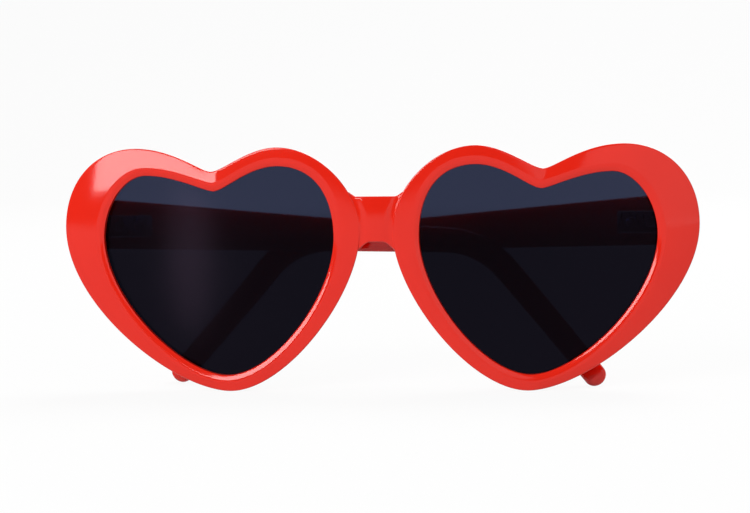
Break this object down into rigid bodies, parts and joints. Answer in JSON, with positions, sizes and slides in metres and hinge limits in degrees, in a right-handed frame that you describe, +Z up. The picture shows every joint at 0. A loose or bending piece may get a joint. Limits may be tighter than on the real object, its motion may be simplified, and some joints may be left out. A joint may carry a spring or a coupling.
{
  "type": "pet sunglasses",
  "caption": "Red heart-shaped plastic sunglasses for a small pet, with dark smoke lenses in a one-piece front and hooked temples that fold on metal hinges.",
  "frame": {"origin": "on the floor, under the middle of the folded glasses", "axes": "+Z up, the front of the lenses faces -Y, +X towards the wearer's left"},
  "size_m": [0.0838, 0.015, 0.032],
  "materials": {
    "red_plastic": "gloss",
    "smoke_lens": "polished",
    "hinge_metal": "nickel plated",
    "screw_steel": "bright"
  },
  "bodies": {
    "front": {"front_frame": "red_plastic", "lens_left": "smoke_lens", "hinge_front_leaf_left": "hinge_metal", "hinge_screw_left": "screw_steel", "front_leaf_screw_upper_left": "screw_steel", "front_leaf_screw_lower_left": "screw_steel", "lens_right": "smoke_lens", "hinge_front_leaf_right": "hinge_metal", "hinge_screw_right": "screw_steel", "front_leaf_screw_upper_right": "screw_steel", "front_leaf_screw_lower_right": "screw_steel"},
    "temple_left": {"temple_left": "red_plastic", "hinge_temple_leaf_left": "hinge_metal", "temple_leaf_screw_front_left": "screw_steel", "temple_leaf_screw_rear_left": "screw_steel"},
    "temple_right": {"temple_right": "red_plastic", "hinge_temple_leaf_right": "hinge_metal", "temple_leaf_screw_front_right": "screw_steel", "temple_leaf_screw_rear_right": "screw_steel"}
  },
  "joints": [
    {"name": "left_temple_hinge", "type": "hinge", "parent": "front", "child": "temple_left", "pos_m": [0.0381, -0.00037, 0.0215], "axis": [0, 0, -1], "range_deg": [0, 90]},
    {"name": "right_temple_hinge", "type": "hinge", "parent": "front", "child": "temple_right", "pos_m": [-0.0381, -0.00037, 0.0215], "axis": [0, 0, 1], "range_deg": [0, 95]}
  ]
}
